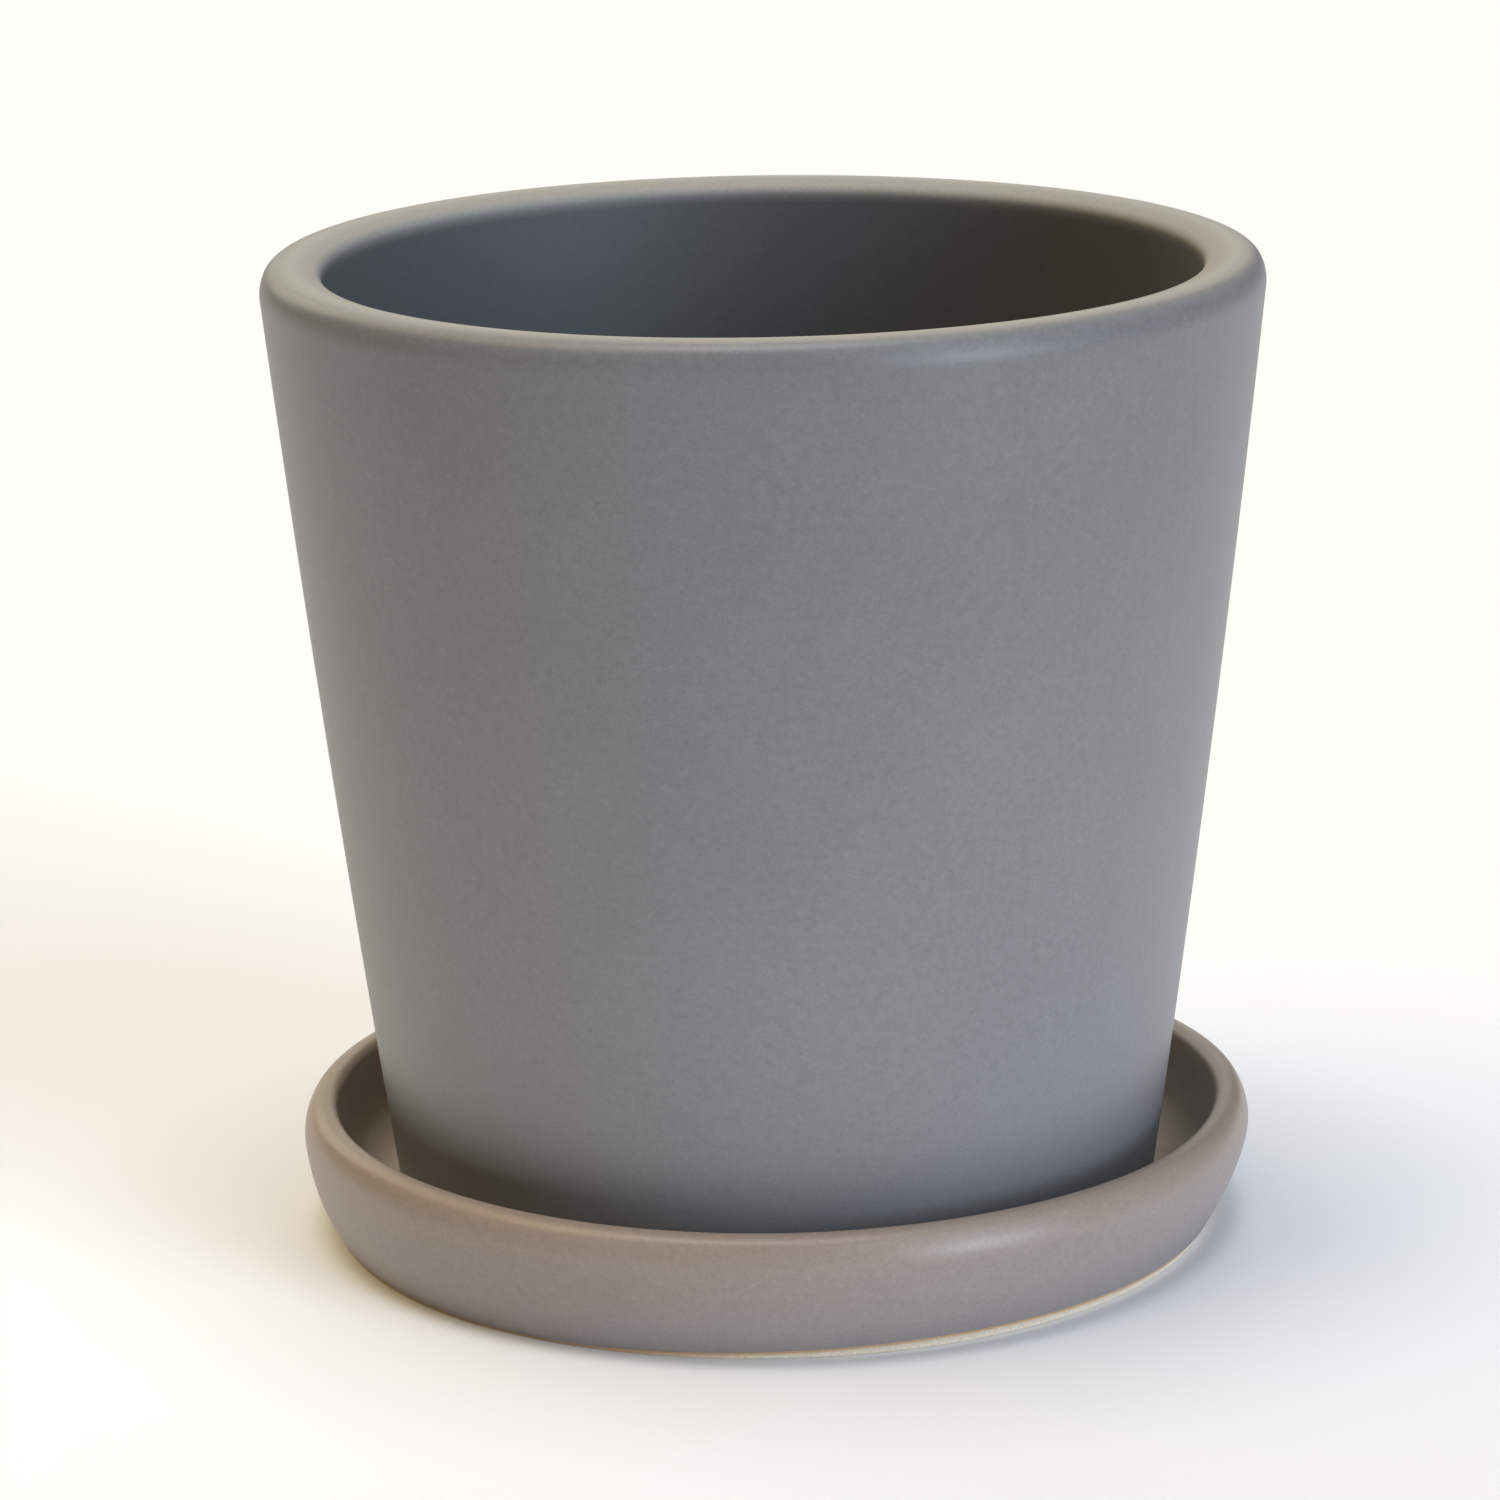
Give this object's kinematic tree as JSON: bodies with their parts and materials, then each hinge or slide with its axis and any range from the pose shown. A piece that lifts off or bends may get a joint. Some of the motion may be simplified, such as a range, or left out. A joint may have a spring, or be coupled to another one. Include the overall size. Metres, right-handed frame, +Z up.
{
  "type": "plant pot with saucer",
  "caption": "Round tapered plant pot in satin grey glaze with a thick lip and a drainage hole, standing loose in a matching shallow saucer.",
  "frame": {"origin": "centre of the saucer's foot ring, on the surface that the saucer stands on", "axes": "+Z up along the shared turning axis of pot and saucer; the object is round, so X and Y have no front or back"},
  "size_m": [0.13, 0.13, 0.13],
  "materials": {
    "pot_glaze": "satin",
    "saucer_glaze": "satin"
  },
  "bodies": {
    "saucer": {"saucer": "saucer_glaze"},
    "pot": {"pot": "pot_glaze"}
  },
  "joints": [
    {"name": "pot_lift", "type": "slide", "parent": "saucer", "child": "pot", "axis": [0, 0, 1], "range_m": [0, 0.06]}
  ]
}
